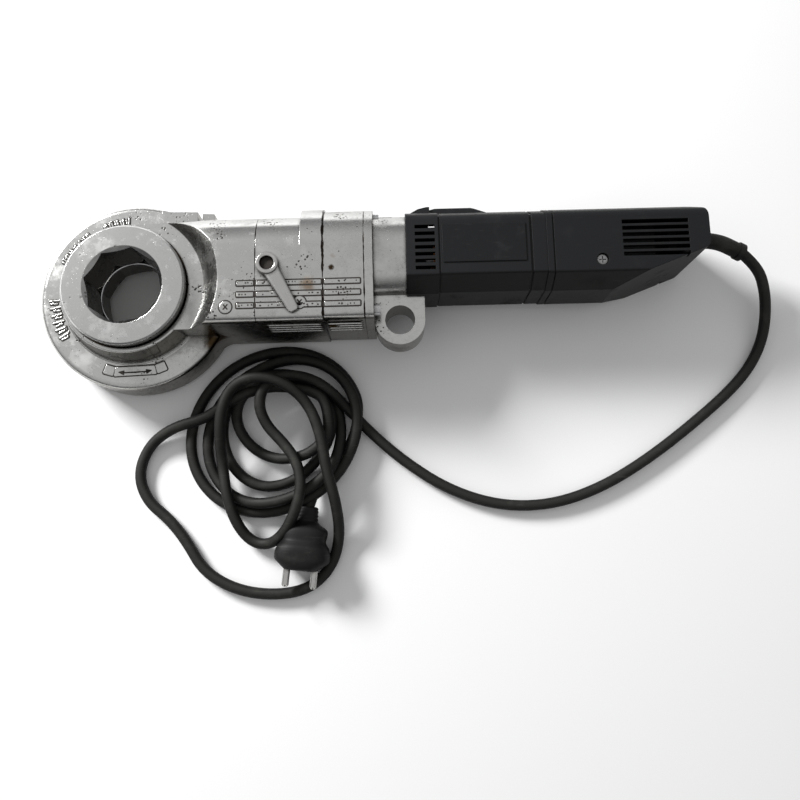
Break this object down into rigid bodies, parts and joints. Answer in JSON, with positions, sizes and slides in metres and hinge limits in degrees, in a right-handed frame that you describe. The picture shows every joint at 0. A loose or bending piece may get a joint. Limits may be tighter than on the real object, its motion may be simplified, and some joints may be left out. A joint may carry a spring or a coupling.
{
  "type": "pipe threading machine",
  "caption": "Hand-held electric pipe threader: die-head drive ring in a cast gear head, bar motor handle, direction lever, tip switch and mains lead with plug.",
  "frame": {"origin": "on the drive ring's axis, at the level of the back face that the tool rests on", "axes": "+X along the tool from the drive ring to the handle, +Z out of the drive ring's front, where the die head goes in"},
  "size_m": [0.5159, 0.2764, 0.074],
  "materials": {
    "cast_aluminium": "bare, worn and stained",
    "hub_steel": "turned, lightly worn",
    "lever_metal": "bare, rubbed",
    "gear_steel": "oiled",
    "screw_steel": "plated",
    "spring_steel": "bright wire",
    "bearing_steel": "ground",
    "lamination_steel": "varnished laminations",
    "copper_winding": "varnished copper",
    "bronze": "sintered bronze",
    "brass": "pressed",
    "carbon": "pressed carbon",
    "black_plastic": "fine moulded texture",
    "plug_plastic": "moulded",
    "cord_rubber": "matt rubber",
    "pin_nickel": "nickel plated",
    "capacitor_case": "moulded case"
  },
  "bodies": {
    "frame": {"head_housing": "cast_aluminium", "back_cover": "cast_aluminium", "gear_case": "cast_aluminium", "intermediate_plate": "cast_aluminium", "motor_flange": "cast_aluminium", "cover_screws": "screw_steel", "case_screws": "screw_steel", "handle_screws": "screw_steel", "upper_bush": "bronze", "lower_bush": "bronze", "pinion_bearings": "bearing_steel", "bevel_shaft_bearings": "bearing_steel", "countershaft_bearings": "bearing_steel", "armature_bearings": "bearing_steel", "stator_core": "lamination_steel", "field_windings": "copper_winding", "carbon_brushes": "carbon", "brush_holders": "brass", "motor_housing": "black_plastic", "rear_shell_top": "black_plastic", "rear_shell_bottom": "black_plastic", "paddle_pin": "screw_steel", "switch_block": "black_plastic", "suppressor_capacitor": "capacitor_case", "cord_clamp": "black_plastic", "strain_relief": "cord_rubber", "cord_lead": "cord_rubber", "cord_loop": "cord_rubber", "cord_coil": "cord_rubber", "plug_body": "plug_plastic", "plug_pins": "pin_nickel"},
    "drive_ring": {"drive_ring": "hub_steel", "ring_gear": "gear_steel", "retaining_spring_ring": "spring_steel"},
    "pinion_shaft": {"pinion_shaft": "gear_steel", "drive_pinion": "gear_steel", "bevel_wheel": "gear_steel"},
    "bevel_shaft": {"bevel_pinion_shaft": "gear_steel", "output_gear": "gear_steel"},
    "countershaft": {"countershaft": "gear_steel", "countershaft_wheel": "gear_steel"},
    "armature": {"armature_shaft": "gear_steel", "armature_pinion": "gear_steel", "armature_core": "lamination_steel", "armature_windings": "copper_winding", "commutator": "copper_winding", "cooling_fan": "black_plastic"},
    "direction_lever": {"direction_lever": "lever_metal", "lever_spindle": "gear_steel", "lever_circlip": "spring_steel"},
    "switch_paddle": {"switch_paddle": "black_plastic"}
  },
  "joints": [
    {"name": "drive_ring_turn", "type": "hinge", "parent": "frame", "child": "drive_ring", "pos_m": [0, 0, 0.033], "axis": [0, 0, 1], "continuous": true},
    {"name": "pinion_turn", "type": "hinge", "parent": "frame", "child": "pinion_shaft", "pos_m": [0.06007, 0.019, 0.033], "axis": [0, 0, 1], "continuous": true},
    {"name": "bevel_shaft_turn", "type": "hinge", "parent": "frame", "child": "bevel_shaft", "pos_m": [0.06007, 0.019, 0.033], "axis": [1, 0, 0], "continuous": true},
    {"name": "countershaft_turn", "type": "hinge", "parent": "frame", "child": "countershaft", "pos_m": [0.1, -0.003, 0.033], "axis": [1, 0, 0], "continuous": true},
    {"name": "armature_turn", "type": "hinge", "parent": "frame", "child": "armature", "pos_m": [0.2, 0.019, 0.033], "axis": [1, 0, 0], "continuous": true},
    {"name": "direction_lever_swing", "type": "hinge", "parent": "frame", "child": "direction_lever", "pos_m": [0.0985, 0.0068, 0.07], "axis": [0, 0, 1], "range_deg": [-64, 0]},
    {"name": "switch_paddle_press", "type": "hinge", "parent": "frame", "child": "switch_paddle", "pos_m": [0.201, 0.0503, 0.033], "axis": [0, 0, -1], "range_deg": [0, 2.6], "stiffness_Nm_per_rad": 1.5}
  ],
  "couplings": [
    {"joint": "pinion_turn", "follows": "drive_ring_turn", "ratio": -6},
    {"joint": "bevel_shaft_turn", "follows": "drive_ring_turn", "ratio": 12},
    {"joint": "countershaft_turn", "follows": "drive_ring_turn", "ratio": -25.714},
    {"joint": "armature_turn", "follows": "drive_ring_turn", "ratio": 87.429}
  ]
}
